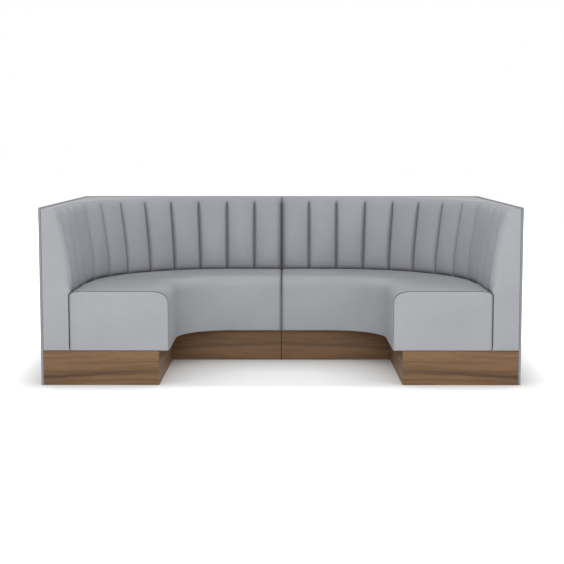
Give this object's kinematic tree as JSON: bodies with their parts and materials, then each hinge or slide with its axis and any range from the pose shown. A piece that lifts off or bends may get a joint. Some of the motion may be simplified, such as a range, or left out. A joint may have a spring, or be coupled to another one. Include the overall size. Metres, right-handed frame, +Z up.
{
  "type": "upholstered banquette bench",
  "caption": "U-shaped restaurant booth seat with a channelled upholstered back carried round both inner corners, on a recessed timber base.",
  "frame": {"origin": "on the floor, at the centre of the footprint rectangle", "axes": "+X to the right along the rear of the bench, +Y from the open front toward the rear panel, +Z up"},
  "size_m": [2.44, 1.534, 0.903],
  "materials": {
    "walnut": "satin lacquered walnut",
    "softwood": "planed softwood",
    "plywood": "sanded plywood",
    "bent_plywood": "sanded bending plywood",
    "foam": "open-cell seat foam",
    "seat_fabric": "smooth grey upholstery",
    "back_fabric": "smooth grey upholstery, channelled",
    "end_fabric": "smooth grey upholstery over board",
    "cap_fabric": "smooth grey upholstery over board",
    "outer_panel": "grey matt laminate",
    "zinc_steel": "zinc plated"
  },
  "bodies": {
    "root": {"left_base_front_board": "walnut", "left_base_inner_board": "walnut", "left_base_centre_board": "walnut", "left_base_side_rail": "softwood", "left_base_rear_rail": "softwood", "left_base_cross_rails": "softwood", "left_floor_board": "plywood", "left_seat_front_board": "bent_plywood", "left_seat_rear_board": "bent_plywood", "left_seat_ribs": "plywood", "left_seat_end_board": "plywood", "left_seat_deck": "plywood", "left_seat_foam": "foam", "left_seat_cover": "seat_fabric", "left_seat_end_cover": "end_fabric", "left_joint_board": "plywood", "left_back_ribs": "plywood", "left_arm_end_board": "plywood", "left_back_skin": "bent_plywood", "left_back_pad": "foam", "left_back_cover": "back_fabric", "left_arm_end_cover": "end_fabric", "left_top_plate": "plywood", "left_top_cap": "cap_fabric", "left_corner_post": "softwood", "left_side_panel": "outer_panel", "left_rear_panel": "outer_panel", "right_base_front_board": "walnut", "right_base_inner_board": "walnut", "right_base_centre_board": "walnut", "right_base_side_rail": "softwood", "right_base_rear_rail": "softwood", "right_base_cross_rails": "softwood", "right_floor_board": "plywood", "right_seat_front_board": "bent_plywood", "right_seat_rear_board": "bent_plywood", "right_seat_ribs": "plywood", "right_seat_end_board": "plywood", "right_seat_deck": "plywood", "right_seat_foam": "foam", "right_seat_cover": "seat_fabric", "right_seat_end_cover": "end_fabric", "right_joint_board": "plywood", "right_back_ribs": "plywood", "right_arm_end_board": "plywood", "right_back_skin": "bent_plywood", "right_back_pad": "foam", "right_back_cover": "back_fabric", "right_arm_end_cover": "end_fabric", "right_top_plate": "plywood", "right_top_cap": "cap_fabric", "right_corner_post": "softwood", "right_side_panel": "outer_panel", "right_rear_panel": "outer_panel", "joint_bolts": "zinc_steel", "joint_washers": "zinc_steel", "joint_nuts": "zinc_steel", "floor_screws": "zinc_steel"}
  },
  "joints": []
}
